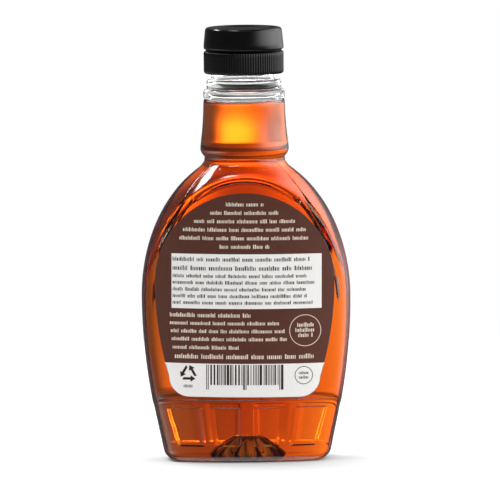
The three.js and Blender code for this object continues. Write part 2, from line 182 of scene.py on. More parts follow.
@dataclass(frozen=True)
class FlaskForm:
    """Closed form of the blown flask in millimetres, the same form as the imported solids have.

    Every method works on arrays. Angles run from the narrow side at 0 to the middle of a wide face.
    """

    half_width: float = 44.65
    spring: float = 70.0
    shoulder_rise: float = 61.0
    lower_side_radius: float = 240.0
    panel_half_depth: float = 22.0
    front_radius: float = 90.0
    side_radius: float = 34.0
    sharpness: float = 24.0
    arch_half_width: float = 42.5
    arch_rise: float = 53.2
    arch_spring: float = 69.6
    arch_bevel: float = 3.0
    ridge_relief: float = 1.8
    ridge_fade: float = 35.0
    step_height: float = 27.2
    step_blend: float = 0.8
    step_side_drop: float = 3.1
    step_drop_sharpness: float = 24.0
    step_front_relief: float = 0.65
    step_side_relief: float = 0.2
    base_side_taper: float = 0.21
    base_front_taper: float = 0.06
    heel_radius: float = 4.0
    push_up_height: float = 10.5
    push_up_reach: float = 0.7
    flutes: int = 12
    flute_relief: float = 0.14
    column_squeeze: float = 0.45
    panel_top: float = 23.9
    panel_bottom: float = 7.0
    panel_tops: tuple[tuple[float, float], ...] = ((2.6, 15.0), (20.6, 34.0))
    panel_feet: tuple[tuple[float, float], ...] = ((2.6, 12.8), (18.3, 28.9))
    panel_depth: float = 0.7
    panel_draft: float = 0.5
    neck_root_radius: float = 16.9
    neck_root_height: float = 129.7
    neck_fillet: float = 2.4
    fillet_start: float = 110.0
    fillet_end: float = 121.0
    highest_corner: float = 112.0
    lowest_arch_row: float = 58.0
    side_toe: float = 76.0
    side_ridge: float = 86.0
    push_up_top: float = 0.12
    flute_start: float = 0.1
    flute_end: float = 0.35
    halvings: int = 34
    settling_rounds: int = 14
    turn_rounds: int = 8
    first_across: float = 0.9
    first_deep: float = 0.6
    ratio_limit: float = 4.0
    fullest: float = 0.999
    least_room: float = 0.01
    least_square: float = 0.02
    least_depth: float = 2.0

    def step_at(self, angle: np.ndarray) -> np.ndarray:
        """Height of the step, lower round the narrow sides."""
        return self.step_height - self.step_side_drop * np.abs(np.cos(angle)) ** self.step_drop_sharpness

    def heel_inset(self, height: np.ndarray) -> np.ndarray:
        """How far the rounded heel draws the wall in."""
        down = np.clip(self.heel_radius - height, 0.0, self.heel_radius)
        return self.heel_radius - np.sqrt(self.heel_radius ** 2 - down ** 2)

    def base_share(self, z: np.ndarray, step: np.ndarray) -> np.ndarray:
        """1 below the step and 0 above it."""
        share = np.clip((z - step + self.step_blend) / (2 * self.step_blend), 0.0, 1.0)
        return 1.0 - share * share * (3.0 - 2.0 * share)

    def side_at(self, z: np.ndarray) -> np.ndarray:
        """Half width of the smooth side below the spring line."""
        return self.half_width - (self.spring - z) ** 2 / (2 * self.lower_side_radius)

    def width_at(self, z: np.ndarray, step: np.ndarray) -> np.ndarray:
        """Half width of the body with its step, before the shoulder draws in.

        Args:
            z: heights.
            step: height of the step at each of them.

        Returns:
            The half widths.
        """
        side_step = self.step_height - self.step_side_drop
        base = self.side_at(side_step) - self.step_side_relief - self.base_side_taper * (side_step - z)
        below = blend(self.side_at(z), base, self.base_share(z, step))
        return np.where(z > self.spring, self.half_width, below)

    def ridge_share(self, x: np.ndarray, z: np.ndarray) -> np.ndarray:
        """0 on the label panel inside the arch and 1 from the ridge outwards.

        Args:
            x: places across the wide face.
            z: heights.

        Returns:
            The shares.
        """
        rise = np.maximum(z - self.arch_spring, 0.0)
        inner_width = self.arch_half_width - self.arch_bevel
        outer = np.hypot(x / self.arch_half_width, rise / self.arch_rise)
        inner = np.hypot(x / inner_width, rise / (self.arch_rise - self.arch_bevel))
        return np.clip((inner - 1.0) / np.maximum(inner - outer, 1e-9), 0.0, 1.0)

    def depth_at(self, x: np.ndarray, z: np.ndarray, step: np.ndarray) -> np.ndarray:
        """Half depth of the wide faces on the centre line, before their curve is taken off.

        Args:
            x: places across the wide face.
            z: heights.
            step: height of the step at each of them.

        Returns:
            The half depths.
        """
        fade = smooth_step(self.arch_spring, self.arch_spring + self.ridge_fade, z)
        face = self.panel_half_depth + self.ridge_relief * fade * self.ridge_share(x, z)
        base = self.panel_half_depth - self.step_front_relief
        base = base - self.base_front_taper * (self.step_height - z)
        return blend(face, base, self.base_share(z, step))

    def measure(self, radius: np.ndarray, angle: np.ndarray, z: np.ndarray, inset: float) -> np.ndarray:
        """Tell on which side of the wall a point lies.

        Args:
            radius: distance of the point from the axis.
            angle: angle of its ray.
            z: its height.
            inset: depth of the surface under the outer wall.

        Returns:
            Below 1 inside the wall and above 1 outside it.
        """
        x = radius * np.cos(angle)
        y = radius * np.sin(angle)
        step = self.step_at(angle)
        drawn = inset + self.heel_inset(z)
        front = (y + x ** 2 / (2 * self.front_radius)) / (self.depth_at(x, z, step) - drawn)
        sag = y ** 2 / (2 * self.side_radius) + drawn
        rise = np.maximum(z - self.spring, 0.0)
        side_room = self.width_at(z, step) - sag
        top_room = self.shoulder_rise - sag
        least = self.least_room
        open_space = (side_room > least) & (rise < top_room)
        side = np.hypot(x / np.maximum(side_room, least), rise / np.maximum(top_room, least))
        total = np.minimum(front, self.ratio_limit) ** self.sharpness
        total = total + np.minimum(side, self.ratio_limit) ** self.sharpness
        return np.where(open_space, total, np.inf)

    def wall_radius(self, angle: np.ndarray, z: np.ndarray, inset: float) -> np.ndarray:
        """Distance of the wall from the axis, by repeated halving, with the neck's root blended in.

        Args:
            angle: angles of the rays.
            z: heights.
            inset: depth of the surface under the outer wall.

        Returns:
            The distances.
        """
        inside = np.zeros(np.broadcast(angle, z).shape)
        outside = inside + self.half_width + 1.0
        for _ in range(self.halvings):
            middle = (inside + outside) / 2
            within = self.measure(middle, angle, z, inset) < 1.0
            inside = np.where(within, middle, inside)
            outside = np.where(within, outside, middle)
        fillet = self.neck_fillet * smooth_step(self.fillet_start, self.fillet_end, z)
        root = self.neck_root_radius - inset
        blended = (inside + root + np.hypot(inside - root, fillet)) / 2
        return np.where(fillet > 0.0, blended, inside)

    def seat_angles(self, seats: Seats, z: np.ndarray, step: np.ndarray) -> np.ndarray:
        """Find the angle of each column, so that it keeps its seat on the face or the side.

        Args:
            seats: the columns' places in the section.
            z: heights, one column of the array for each seat.
            step: height of the step for each seat.

        Returns:
            The angles, in the shape of z.
        """
        low = np.minimum(z, self.highest_corner)
        rise = np.maximum(low - self.spring, 0.0)
        width = self.width_at(low, step)
        corner_level = 0.5 ** (1.0 / self.sharpness)
        x = self.first_across * width
        y = np.full_like(width, self.first_deep * self.panel_half_depth)
        for _ in range(self.settling_rounds):
            sag = y ** 2 / (2 * self.side_radius)
            climb = rise / (self.shoulder_rise - sag)
            x = (width - sag) * np.sqrt(np.maximum(corner_level ** 2 - climb ** 2, self.least_square))
            depth = self.depth_at(x, low, step) * corner_level
            y = np.maximum(depth - x ** 2 / (2 * self.front_radius), self.least_depth)
        side_seats = seats.side()
        face_seats = seats.face()
        count = len(side_seats)
        shares = np.concatenate([side_seats, face_seats[1:]])
        face_x = x * shares
        face_y = y.copy()
        side_y = y * shares
        side_x = x.copy()
        power = self.sharpness
        for _ in range(self.settling_rounds):
            sag = face_y ** 2 / (2 * self.side_radius)
            side = np.hypot(face_x / (width - sag), rise / (self.shoulder_rise - sag))
            level = (1.0 - np.minimum(side, self.fullest) ** power) ** (1.0 / power)
            curve = face_x ** 2 / (2 * self.front_radius)
            face_y = self.depth_at(face_x, low, step) * level - curve
            sag = side_y ** 2 / (2 * self.side_radius)
            front = (side_y + side_x ** 2 / (2 * self.front_radius)) / self.depth_at(side_x, low, step)
            level = (1.0 - np.minimum(front, self.fullest) ** power) ** (1.0 / power)
            climb = rise / (self.shoulder_rise - sag)
            side_x = (width - sag) * np.sqrt(np.maximum(level ** 2 - climb ** 2, self.least_square))
        on_side = np.arange(len(shares)) < count
        return np.where(on_side, np.arctan2(side_y, side_x), np.arctan2(face_y, face_x))

    def arch_height(self, seats: Seats, step: np.ndarray, bevel: float, lowest: float) -> np.ndarray:
        """Find where each column meets an arch.

        Args:
            seats: the columns' places in the section.
            step: height of the step for each seat.
            bevel: how far the arch lies inside the ridge.
            lowest: height taken by the columns that pass the arch by.

        Returns:
            One height for each seat.
        """
        half_width = self.arch_half_width - bevel
        height = self.arch_rise - bevel
        low = np.full(step.shape, self.arch_spring)
        high = low + self.arch_rise - bevel
        for _ in range(self.halvings):
            z = (low + high) / 2
            angle = self.seat_angles(seats, z, step)
            x = self.wall_radius(angle, z, 0.0) * np.cos(angle)
            reach = np.hypot(x / half_width, (z - self.arch_spring) / height)
            low = np.where(reach < 1.0, z, low)
            high = np.where(reach < 1.0, high, z)
        return np.maximum(low, lowest)

    def floor_height(self, share: np.ndarray, angle: np.ndarray) -> np.ndarray:
        """Height of the fluted push-up under the flask, at a share of the way to the heel.

        Args:
            share: 0 in the middle of the floor and 1 at the heel.
            angle: angles of the columns.

        Returns:
            The heights over the lowest point.
        """
        turn = angle.copy()
        for _ in range(self.turn_rounds):
            turn = angle + self.column_squeeze / 2 * np.sin(2 * turn)
        rise = 1.0 - smooth_step(self.push_up_top, self.push_up_reach, share)
        depth = self.flute_relief * smooth_step(self.flute_start, self.flute_end, share)
        flute = 1.0 - depth * (1.0 + np.cos(self.flutes * turn))
        return self.push_up_height * rise * flute

    def sunk(self, x: np.ndarray, height: np.ndarray) -> np.ndarray:
        """How far the base panels are sunk into the wide face at this place.

        Args:
            x: places across the wide face.
            height: heights, without the step's drop.

        Returns:
            Depths under the face.
        """
        share = np.clip((height - self.panel_bottom) / (self.panel_top - self.panel_bottom), 0.0, 1.0)
        draft = self.panel_draft
        depth = np.zeros(x.shape)
        upright = np.minimum((height - self.panel_bottom) / draft, (self.panel_top - height) / draft)
        for top, foot in zip(self.panel_tops, self.panel_feet):
            near = blend(foot[0], top[0], share)
            far = blend(foot[1], top[1], share)
            across = np.minimum((x - near) / draft, (far - x) / draft)
            depth = np.maximum(depth, np.clip(np.minimum(across, upright), 0.0, 1.0))
        return self.panel_depth * depth


class FlaskGrid:
    """Rows and columns of points that lie on the flask's wall at any depth under it."""

    floor_shares = (0.0, 0.04, 0.08, 0.12, 0.17, 0.22, 0.28, 0.34,
                    0.4, 0.46, 0.52, 0.58, 0.64, 0.7, 0.8, 0.9)
    base_heights = (5.4, 6.85, 7.0, 7.5, 7.65, 9.8, 12.2, 14.6,
                    17.0, 19.4, 21.6, 23.25, 23.4, 23.9, 24.05, 25.2)
    heel_rows = 7
    step_rows = 7
    wall_rows = 13
    arch_rows = 21
    last_before_toe = 0.985
    bevel_shares = (0.08, 0.3, 0.5, 0.7, 0.92, 1.0)
    first_over_ridge = 0.02
    shoulder_rows = 23
    seated_under_step = 2.0

    def __init__(self, form: FlaskForm, seats: Seats) -> None:
        """Work out the heights and angles once for a quarter of the flask.

        Args:
            form: form of the flask.
            seats: places of the columns.
        """
        self.form = form
        self.seats = seats
        quarter = len(seats.side()) + len(seats.face()) - 1
        flat = np.full(quarter, form.step_height)
        angle = form.seat_angles(seats, flat - self.seated_under_step, flat)
        step = form.step_at(angle)
        toe = form.arch_height(seats, step, form.arch_bevel, form.side_toe)
        ridge = form.arch_height(seats, step, 0.0, form.side_ridge)
        drop = form.step_height - step
        label_top = np.full_like(step, form.lowest_arch_row)
        root = np.full_like(step, form.neck_root_height)
        rows = [v - drop * (v / form.step_height) ** 2 for v in self.base_heights]
        rows += [step + offset for offset in np.linspace(-form.step_blend, form.step_blend, self.step_rows)]
        stretches = (
            (step + form.step_blend, label_top, np.linspace(0.0, 1.0, self.wall_rows)[1:]),
            (label_top, toe, (*np.linspace(0.0, 1.0, self.arch_rows)[1:-1], self.last_before_toe, 1.0)),
            (toe, ridge, self.bevel_shares),
            (ridge, root, (self.first_over_ridge, *np.linspace(0.0, 1.0, self.shoulder_rows)[1:])),
        )
        for start, end, shares in stretches:
            rows += [blend(start, end, share) for share in shares]
        self.step = step
        self.wall = np.array(rows)
        self.heel_turns = np.linspace(0.0, math.pi / 2, self.heel_rows)
        self.marks = np.zeros(len(rows))
        self.marks[:len(self.base_heights)] = self.base_heights

    def body(self, inset: float) -> np.ndarray:
        """Place the pressed body's points at a depth under the outer wall.

        Args:
            inset: depth under the outer wall.

        Returns:
            Points by row and column, from the middle of the floor up to the neck's root.
        """
        form = self.form
        rounding = form.heel_radius - inset
        heel = np.array([inset + rounding * (1.0 - math.cos(turn)) for turn in self.heel_turns])
        z = np.concatenate([np.repeat(heel[:, None], len(self.step), axis=1), self.wall])
        angle = form.seat_angles(self.seats, z, self.step)
        outer_x = form.wall_radius(angle, z, 0.0) * np.cos(angle)
        marks = np.concatenate([np.zeros(len(heel)), self.marks])
        sunk = form.sunk(outer_x, np.repeat(marks[:, None], z.shape[1], axis=1))
        radius = form.wall_radius(angle, z, inset)
        wall = np.stack([radius * np.cos(angle), radius * np.sin(angle) - sunk, z], axis=2)
        foot_radius = form.wall_radius(angle[0], np.zeros_like(angle[0]), inset)
        floor = []
        for share in self.floor_shares:
            lift = inset + form.floor_height(np.full(foot_radius.shape, share), angle[0])
            reach = share * foot_radius
            floor.append(np.stack([reach * np.cos(angle[0]), reach * np.sin(angle[0]), lift], axis=1))
        return self.whole(np.concatenate([np.array(floor), wall]))

    def round(self, outline: Outline) -> np.ndarray:
        """Place round rows on the same columns.

        Args:
            outline: radius and height of each row.

        Returns:
            Points by row and column.
        """
        height = np.full((1, len(self.step)), self.form.neck_root_height)
        angle = self.form.seat_angles(self.seats, height, self.step)[0]
        cos, sin = np.cos(angle), np.sin(angle)
        rows = [np.stack([r * cos, r * sin, np.full_like(angle, z)], axis=1) for r, z in outline]
        return self.whole(np.array(rows))

    @staticmethod
    def whole(quarter: np.ndarray) -> np.ndarray:
        """Mirror a quarter's columns round to the whole section.

        Args:
            quarter: points of the quarter between the narrow side and the middle of a wide face.

        Returns:
            Points of all columns, counterclockwise.
        """
        turned = quarter[:, -1:0:-1]
        second = turned * np.array([-1.0, 1.0, 1.0])
        third = quarter[:, :-1] * np.array([-1.0, -1.0, 1.0])
        fourth = turned * np.array([1.0, -1.0, 1.0])
        return np.concatenate([quarter[:, :-1], second, third, fourth], axis=1)


def soften(outline: Outline, rounds: int = 1) -> Outline:
    """Round the corners of an open outline by cutting each one a quarter of the way.

    Args:
        outline: points of the outline, in order.
        rounds: how many times to cut.

    Returns:
        The softened outline with the same two ends.
    """
    for _ in range(rounds):
        cut = [outline[0]]
        for (ar, az), (br, bz) in zip(outline, outline[1:]):
            cut.append((0.75 * ar + 0.25 * br, 0.75 * az + 0.25 * bz))
            cut.append((0.25 * ar + 0.75 * br, 0.25 * az + 0.75 * bz))
        outline = [*cut, outline[-1]]
    return outline


def spun_piece(name: str, points: np.ndarray, second_from: int | None = None) -> bpy.types.Object:
    """Spin an upright profile into a closed skin and set its points in their places.

    Args:
        name: name of the new piece.
        points: places in millimetres by row and column; the first and last rows are poles.
        second_from: row from which the faces take the piece's second finish, if it has one.

    Returns:
        The piece, smooth and with its faces outwards.
    """
    rows, columns = points.shape[:2]
    skin = bmesh.new()
    profile = [skin.verts.new((0.0 if row in (0, rows - 1) else 1.0, 0.0, row)) for row in range(rows)]
    edges = [skin.edges.new(pair) for pair in zip(profile, profile[1:])]
    bmesh.ops.spin(skin, geom=profile + edges, cent=(0, 0, 0), axis=(0, 0, 1), angle=2 * math.pi,
                   steps=columns, use_merge=True)
    bmesh.ops.remove_doubles(skin, verts=skin.verts, dist=1e-3)
    for face in skin.faces:
        row = round(min(vert.co.z for vert in face.verts))
        face.material_index = int(second_from is not None and row >= second_from)
    for vert in skin.verts:
        column = round(math.atan2(vert.co.y, vert.co.x) / (2 * math.pi) * columns) % columns
        vert.co = Vector(points[round(vert.co.z), column]) * MM
    bmesh.ops.recalc_face_normals(skin, faces=skin.faces)
    if skin.calc_volume(signed=True) < 0.0:
        bmesh.ops.reverse_faces(skin, faces=skin.faces)
    return finished(name, skin, smooth=True)


def finished(name: str, skin: bmesh.types.BMesh, smooth: bool) -> bpy.types.Object:
    """Turn a bmesh into a piece at the origin.

    Args:
        name: name of the new piece.
        skin: the bmesh, in metres, which is freed.
        smooth: whether its faces are shaded smooth.

    Returns:
        The new piece.
    """
    for face in skin.faces:
        face.smooth = smooth
    mesh = bpy.data.meshes.new(name)
    skin.to_mesh(mesh)
    skin.free()
    piece = bpy.data.objects.new(name, mesh)
    bpy.context.scene.collection.objects.link(piece)
    return piece


def install(piece: bpy.types.Object, material: bpy.types.Material, slot: str, *nodes: str) -> None:
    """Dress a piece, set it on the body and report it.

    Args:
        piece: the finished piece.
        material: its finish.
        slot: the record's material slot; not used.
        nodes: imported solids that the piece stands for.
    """
    piece.data.materials.append(material)
    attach(piece, BODY)
    if nodes:
        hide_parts(*nodes)
    LOG.info("%s: %d faces, for %s", piece.name, len(piece.data.polygons), ", ".join(nodes) or "no solid")


@dataclass(frozen=True)
class ClearPet:
    """Blown clear PET: glossy and colourless, with the slow ripples that blowing leaves in the wall."""

    name: str = "clear_blown_pet"
    colour: str = "fbfdfc"
    ior: float = 1.575
    roughness: float = 0.015
    shine: float = 1.0
    ripple_width: float = 14.0
    ripple_strength: float = 0.05

    def make(self) -> bpy.types.Material:
        """Build the material, with shine 0 where syrup wets the wall and it hardly mirrors.

        Returns:
            The material.
        """
        material, tree = new_material(self.name)
        place = add_node(tree, "ShaderNodeTexCoord")
        ripple = add_node(tree, "ShaderNodeTexNoise", {
            "Vector": place.outputs["Object"], "Scale": 1 / (self.ripple_width * MM), "Detail": 1.0})
        bump = add_node(tree, "ShaderNodeBump", {
            "Height": ripple.outputs["Fac"], "Strength": self.ripple_strength, "Distance": MM})
        shader = add_node(tree, "ShaderNodeBsdfPrincipled", {
            "Base Color": linear_colour(self.colour), "Roughness": self.roughness, "IOR": self.ior,
            "Specular Tint": (self.shine, self.shine, self.shine, 1.0), "Transmission Weight": 1.0,
            "Normal": bump.outputs["Normal"]})
        add_node(tree, "ShaderNodeOutputMaterial", {"Surface": shader.outputs["BSDF"]})
        return material


@dataclass(frozen=True)
class AmberSyrup:
    """Maple syrup: a clear liquid that takes out blue first and green next, so depth turns it red."""

    ior: float = 1.46
    density: float = 175.0
    let_through: tuple[float, float, float] = (0.93, 0.58, 0.03)

    def make(self) -> bpy.types.Material:
        """Build the material.

        Returns:
            The material.
        """
        material, tree = new_material("amber_maple_syrup")
        shader = add_node(tree, "ShaderNodeBsdfPrincipled", {
            "Base Color": WHITE, "Roughness": 0.0, "IOR": self.ior, "Specular Tint": BLACK,
            "Transmission Weight": 1.0})
        depth = add_node(tree, "ShaderNodeVolumeAbsorption", {
            "Color": (*self.let_through, 1.0), "Density": self.density})
        add_node(tree, "ShaderNodeOutputMaterial", {
            "Surface": shader.outputs["BSDF"], "Volume": depth.outputs["Volume"]})
        return material


@dataclass(frozen=True)
class BlackPolypropylene:
    """Moulded black polypropylene: a faint orange-peel on a glossy skin."""

    colour: str = "060607"
    ior: float = 1.49
    roughness: float = 0.2
    peel_size: float = 0.9
    peel_depth: float = 0.1
    peel_strength: float = 0.06

    def make(self, name: str) -> bpy.types.Material:
        """Build the material under a name.

        Args:
            name: the material's name.

        Returns:
            The material.
        """
        material, tree = new_material(name)
        place = add_node(tree, "ShaderNodeTexCoord")
        peel = add_node(tree, "ShaderNodeTexNoise", {
            "Vector": place.outputs["Object"], "Scale": 1 / (self.peel_size * MM), "Detail": 2.0})
        bump = add_node(tree, "ShaderNodeBump", {
            "Height": peel.outputs["Fac"], "Strength": self.peel_strength, "Distance": self.peel_depth * MM})
        shader = add_node(tree, "ShaderNodeBsdfPrincipled", {
            "Base Color": linear_colour(self.colour), "Roughness": self.roughness, "IOR": self.ior,
            "Normal": bump.outputs["Normal"]})
        add_node(tree, "ShaderNodeOutputMaterial", {"Surface": shader.outputs["BSDF"]})
        return material


@dataclass(frozen=True)
class PrintedFilm:
    """Satin polypropylene film and the inks on it: flat colour with a fine mottle."""

    name: str
    colour: str
    mottle_colour: str
    ior: float = 1.49
    roughness: float = 0.42
    mottle_size: float = 0.35
    mottle_range: tuple[float, float] = (0.35, 0.65)

    def make(self) -> bpy.types.Material:
        """Build the material.

        Returns:
            The material.
        """
        material, tree = new_material(self.name)
        place = add_node(tree, "ShaderNodeTexCoord")
        mottle = add_node(tree, "ShaderNodeTexNoise", {
            "Vector": place.outputs["Object"], "Scale": 1 / (self.mottle_size * MM), "Detail": 3.0})
        colours = add_node(tree, "ShaderNodeValToRGB", {"Fac": mottle.outputs["Fac"]})
        codes = (self.colour, self.mottle_colour)
        for stop, position, code in zip(colours.color_ramp.elements, self.mottle_range, codes):
            stop.position = position
            stop.color = linear_colour(code)
        shader = add_node(tree, "ShaderNodeBsdfPrincipled", {
            "Base Color": colours.outputs["Color"], "Roughness": self.roughness, "IOR": self.ior})
        add_node(tree, "ShaderNodeOutputMaterial", {"Surface": shader.outputs["BSDF"]})
        return material


@dataclass(frozen=True)
class MattPaper:
    """Pale paper under the bottle: matt, so that only its soft shade shows."""

    colour: str = "e8e8e8"
    ior: float = 1.3
    roughness: float = 0.9

    def make(self) -> bpy.types.Material:
        """Build the material.

        Returns:
            The material.
        """
        material, tree = new_material("matt_white_paper")
        shader = add_node(tree, "ShaderNodeBsdfPrincipled", {
            "Base Color": linear_colour(self.colour), "Roughness": self.roughness, "IOR": self.ior})
        add_node(tree, "ShaderNodeOutputMaterial", {"Surface": shader.outputs["BSDF"]})
        return material


@dataclass(frozen=True)
class Bead:
    """Round bead on the neck, in millimetres, that stands proud of a foot radius."""

    radius: float
    low: float
    high: float
    proud: float
    rounding: float = 0.9
    low_lip: float = 0.3
    high_lip: float = 0.35
    lip_rise: float = 0.15

    def outline(self) -> Outline:
        """Outline from the bead's foot upwards.

        Returns:
            Radius and height of each point.
        """
        foot = self.radius - self.proud
        return [(foot, self.low), (self.radius - self.low_lip, self.low + self.lip_rise),
                (self.radius, self.low + self.rounding), (self.radius, self.high - self.rounding),
                (self.radius - self.high_lip, self.high - self.lip_rise), (foot, self.high)]


@dataclass
class Neck:
    """Outline of the neck in millimetres, from the shoulder to the mouth."""

    wall: float = 0.6
    fill_height: float = 153.6
    mouth_height: float = 173.6
    finish_radius: float = 14.0
    mouth_radius: float = 12.6
    lower_bead: Bead = Bead(17.4, 154.5, 158.4, 0.45)
    upper_bead: Bead = Bead(16.05, 159.1, 162.5, 0.35)

    def cone(self, inset: float) -> Outline:
        """Ring and cone up to the fill, at a depth under the outer wall.

        Args:
            inset: depth under the outer wall.

        Returns:
            Radius and height of each point.
        """
        outline = [(17.8, 130.6), (18.45, 131.5), (18.93, 132.9), (18.85, 134.3), (18.55, 136.8)]
        outline += [(18.15, 140.2), (17.85, 143.4), (17.65, 146.6), (17.5, 150.0), (17.4, self.fill_height)]
        return [(radius - inset, z) for radius, z in outline]

    def outside(self) -> Outline:
        """Outline of the neck's outer wall.

        Returns:
            Radius and height of each point.
        """
        radius = self.finish_radius
        root = self.upper_bead.high
        finish = [(radius + 0.5, root + 0.3), (radius, root + 0.8), (radius, self.mouth_height - 0.5),
                  (radius - 0.4, self.mouth_height)]
        return soften([*self.cone(0.0), *self.lower_bead.outline(), *self.upper_bead.outline(), *finish])

    def inside(self) -> Outline:
        """Outline of the bore, from the mouth downwards.

        Returns:
            Radius and height of each point.
        """
        radius = self.mouth_radius
        root = self.upper_bead.high
        bore = [*self.cone(self.wall), (self.lower_bead.radius - 1.0, self.lower_bead.high - 1.3),
                (radius + 0.6, root - 0.6), (radius, root + 0.6), (radius, self.mouth_height - 0.4),
                (radius + 0.4, self.mouth_height)]
        return list(reversed(soften(bore)))


@dataclass
class Bottle:
    """The blown flask: one closed skin with an outer and an inner wall."""

    grid: FlaskGrid
    neck: Neck

    def build(self) -> bpy.types.Object:
        """Build and dress the flask.

        Returns:
            The flask.
        """
        outer = self.grid.body(0.0)
        inner = self.grid.body(self.neck.wall)[::-1]
        bore = self.neck.inside()
        points = np.concatenate([outer, self.grid.round(self.neck.outside()), self.grid.round(bore), inner])
        wet_rows = len(inner) + sum(z <= self.neck.fill_height for radius, z in bore)
        piece = spun_piece("blown_flask", points, len(points) - wet_rows)
        install(piece, ClearPet().make(), "clear_pet", "bottle")
        piece.data.materials.append(ClearPet(name="pet_wetted_by_syrup", shine=0.0).make())
        return piece


@dataclass
class Syrup:
    """The fill: it reaches just into the wall, and its surface climbs a little where it meets it."""

    grid: FlaskGrid
    neck: Neck
    bite: float = 0.05
    climb: float = 0.55
    climb_width: float = 0.9
    waver: float = 0.12
    slow_waves: int = 5
    fast_waves: int = 13
    fast_share: float = 0.6
    surface_shares: tuple[float, ...] = (1.0, 0.985, 0.965, 0.94, 0.9, 0.84, 0.7, 0.5, 0.25, 0.0)
    bubbles: int = 70
    bubble_radius: tuple[float, float] = (0.12, 0.34)
    bubble_gap: tuple[float, float] = (0.05, 0.9)
    bubble_rise: float = 0.75
    seed: int = 7

    def surface_height(self, radius: float, edge: float, angle: float) -> float:
        """Height of the liquid's surface: flat in the middle, drawn up unevenly at the wall.

        Args:
            radius: distance from the axis.
            edge: radius of the surface.
            angle: angle round the axis.

        Returns:
            The height in millimetres.
        """
        waves = math.sin(self.slow_waves * angle + 1.0) + self.fast_share * math.sin(self.fast_waves * angle)
        lift = self.climb + self.waver * waves
        return self.neck.fill_height - self.climb + lift * math.exp((radius - edge) / self.climb_width)

    def build(self) -> bpy.types.Object:
        """Build and dress the syrup.

        Returns:
            The syrup.
        """
        inset = self.neck.wall - self.bite
        body = self.grid.body(inset)
        sides = self.grid.round(soften(self.neck.cone(inset))[:-1])
        edge = self.neck.cone(inset)[-1][0]
        top = self.grid.round([(share * edge, self.neck.fill_height) for share in self.surface_shares])
        for row in top:
            for place in row:
                radius = math.hypot(place[0], place[1])
                place[2] = self.surface_height(radius, edge, math.atan2(place[1], place[0]))
        piece = spun_piece("syrup_fill", np.concatenate([body, sides, top]))
        install(piece, AmberSyrup().make(), "syrup", "syrup")
        return piece

    def build_bubbles(self) -> bpy.types.Object:
        """Build the small bubbles that sit where the surface meets the wall.

        Returns:
            The bubbles, joined.
        """
        draw = random.Random(self.seed)
        edge = self.neck.cone(self.neck.wall)[-1][0]
        skin = bmesh.new()
        for _ in range(self.bubbles):
            angle = draw.uniform(0.0, 2 * math.pi)
            size = draw.uniform(*self.bubble_radius)
            radius = edge - size - draw.uniform(*self.bubble_gap)
            z = self.surface_height(radius, edge, angle) + self.bubble_rise * size
            made = bmesh.ops.create_icosphere(skin, subdivisions=2, radius=size * MM)
            place = Vector((radius * math.cos(angle), radius * math.sin(angle), z)) * MM
            bmesh.ops.translate(skin, verts=made["verts"], vec=place)
        piece = finished("surface_bubbles", skin, smooth=True)
        install(piece, ClearPet(ior=1.33, ripple_strength=0.0).make(), "syrup")
        return piece


class Face(Enum):
    """The two wide faces, by the way each one looks along Y."""

    SHOWN = -1
    HIDDEN = 1


@dataclass(frozen=True)
class Layout:
    """Where the fields and the print stand on a label, in millimetres across and up.

    A box is its left, right, low and high side. A row is its height, where it begins and ends, and the
    height of a small letter. A ring is the place of its middle, its radius and the width of its line.
    """

    arch_top: float = 110.7
    arch_spacing: float = 3.62
    arch_letter: float = 1.25
    arch_half_widths: tuple[float, ...] = (8.0, 14.7, 21.6, 26.3, 27.8, 10.7)
    lower_rows: tuple[tuple[float, ...], ...] = (
        (63.2, -31.9, 2.7, 1.35),
        (59.8, -31.9, 15.1, 1.2),
        (56.4, -31.5, 16.8, 1.2),
        (53.0, -31.1, 18.1, 1.2),
        (49.4, -30.7, -2.4, 1.2),
        (45.5, -29.8, 30.1, 1.5),
    )
    badge: tuple[float, ...] = (25.8, 56.8, 6.8, 0.28)
    badge_letter: float = 1.3
    badge_rows: tuple[tuple[float, float], ...] = ((59.0, 3.4), (56.8, 4.2), (54.6, 3.0))
    panel: tuple[float, ...] = (-31.2, 32.8, 66.2, 89.6)
    panel_start: float = -30.7
    panel_end: float = 30.2
    panel_ragged: float = 4.0
    panel_rows: tuple[tuple[float, float], ...] = (
        (87.1, 1.3), (83.3, 1.45), (80.0, 1.15), (77.2, 1.15), (74.3, 1.15), (71.4, 1.15), (68.6, 1.15))
    foot_top: float = 42.7
    foot_margin: float = 0.12
    foot_reach: float = 2.6
    bars_start: float = -16.4
    bars_end: float = 16.2
    bars_top: float = 42.3
    bars_foot: float = 33.6
    guards: tuple[float, ...] = (-16.4, 0.0, 15.6)
    guard_reach: float = 0.9
    guard_foot: float = 31.6
    bar_unit: float = 0.35
    arrows: tuple[float, ...] = (-24.0, 38.3, 7.4)
    arrows_row: tuple[float, ...] = (32.9, -26.0, -22.2, 1.2)
    mark: tuple[float, ...] = (25.2, 37.6, 3.9, 0.3)
    mark_parts: int = 30
    mark_rows: tuple[tuple[float, ...], ...] = ((38.5, 23.1, 27.3, 1.0), (36.6, 23.1, 27.3, 1.0))


